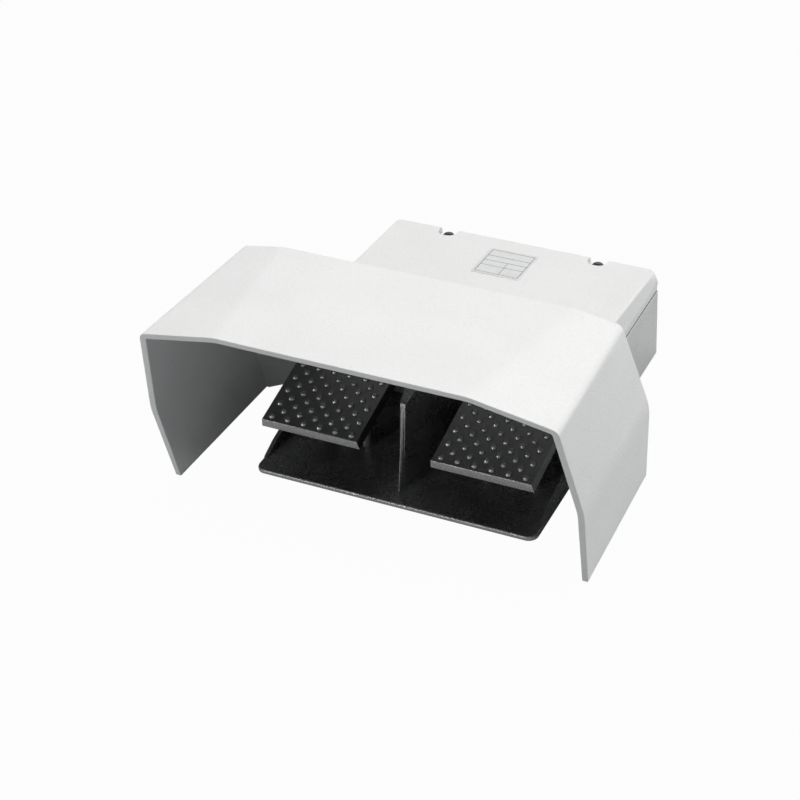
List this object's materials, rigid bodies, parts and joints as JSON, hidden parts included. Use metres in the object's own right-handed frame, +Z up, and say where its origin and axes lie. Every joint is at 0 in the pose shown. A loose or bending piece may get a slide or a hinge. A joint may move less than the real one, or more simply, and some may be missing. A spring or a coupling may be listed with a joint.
{
  "type": "industrial foot switch",
  "caption": "Twin-pedal foot switch: a low box with a sloping cover, studded pedals side by side under a wide guard hood.",
  "frame": {"origin": "on the floor under the middle of the whole object's footprint", "axes": "+X to the operator's right, +Y to the rear (cable side), +Z up"},
  "size_m": [0.3116, 0.2992, 0.1557],
  "materials": {
    "cream_casting": "satin light grey powder coat on cast aluminium",
    "black_casting": "gloss black coat on cast aluminium",
    "pedal_casting": "dark grey coat on cast aluminium, studs polished by use",
    "bright_steel": "ground steel",
    "dark_screws": "blackened steel screws",
    "zinc_screws": "zinc-plated steel",
    "spring_steel": "spring steel wire",
    "rubber": "black rubber",
    "label_plate": "blank matt grey plate",
    "bush_metal": "sintered bronze",
    "switch_plastic": "black moulded plastic",
    "lid_plastic": "dull red moulded plastic",
    "carrier_plastic": "ivory moulded plastic",
    "contact_metal": "contact brass"
  },
  "bodies": {
    "base": {"base_casting": "black_casting", "base_screws": "zinc_screws", "switch_housing": "cream_casting", "housing_seal": "rubber", "cover": "cream_casting", "cover_screws": "dark_screws", "type_plate": "label_plate", "hood": "cream_casting", "hood_screws": "dark_screws", "foot_pads": "rubber", "pedal_shaft": "bright_steel", "shaft_clips": "spring_steel", "rest_stops": "rubber", "end_buffers": "rubber", "switch_mounting_screws": "zinc_screws", "earth_screw": "zinc_screws", "pedal_spring_left": "spring_steel", "guide_bush_left": "bush_metal", "plunger_seal_left": "rubber", "switch_body_left": "switch_plastic", "switch_lid_left": "lid_plastic", "fixed_contacts_left": "contact_metal", "terminal_screws_left": "zinc_screws", "contact_spring_left": "spring_steel", "pedal_spring_right": "spring_steel", "guide_bush_right": "bush_metal", "plunger_seal_right": "rubber", "switch_body_right": "switch_plastic", "switch_lid_right": "lid_plastic", "fixed_contacts_right": "contact_metal", "terminal_screws_right": "zinc_screws", "contact_spring_right": "spring_steel"},
    "left_pedal": {"pedal_left": "pedal_casting", "pedal_bushes_left": "bush_metal", "adjusting_screw_left": "zinc_screws", "lock_nut_left": "zinc_screws"},
    "left_plunger": {"plunger_left": "bright_steel", "contact_carrier_left": "carrier_plastic", "moving_contacts_left": "contact_metal"},
    "right_pedal": {"pedal_right": "pedal_casting", "pedal_bushes_right": "bush_metal", "adjusting_screw_right": "zinc_screws", "lock_nut_right": "zinc_screws"},
    "right_plunger": {"plunger_right": "bright_steel", "contact_carrier_right": "carrier_plastic", "moving_contacts_right": "contact_metal"}
  },
  "joints": [
    {"name": "left_pedal_press", "type": "hinge", "parent": "base", "child": "left_pedal", "pos_m": [-0.06375, 0.01555, 0.046], "axis": [1, 0, 0], "range_deg": [0, 12], "stiffness_Nm_per_rad": 4, "springref_deg": -20.05, "deforming": ["pedal_spring_left"]},
    {"name": "left_plunger_travel", "type": "slide", "parent": "base", "child": "left_plunger", "axis": [0, 1, 0], "range_m": [0, 0.0047], "stiffness_N_per_m": 150, "springref_m": -0.004, "deforming": ["contact_spring_left"]},
    {"name": "right_pedal_press", "type": "hinge", "parent": "base", "child": "right_pedal", "pos_m": [0.06375, 0.01555, 0.046], "axis": [1, 0, 0], "range_deg": [0, 12], "stiffness_Nm_per_rad": 4, "springref_deg": -20.05, "deforming": ["pedal_spring_right"]},
    {"name": "right_plunger_travel", "type": "slide", "parent": "base", "child": "right_plunger", "axis": [0, 1, 0], "range_m": [0, 0.0047], "stiffness_N_per_m": 150, "springref_m": -0.004, "deforming": ["contact_spring_right"]}
  ],
  "couplings": [
    {"joint": "left_plunger_travel", "follows": "left_pedal_press", "m_per_rad": 0.022},
    {"joint": "right_plunger_travel", "follows": "right_pedal_press", "m_per_rad": 0.022}
  ]
}
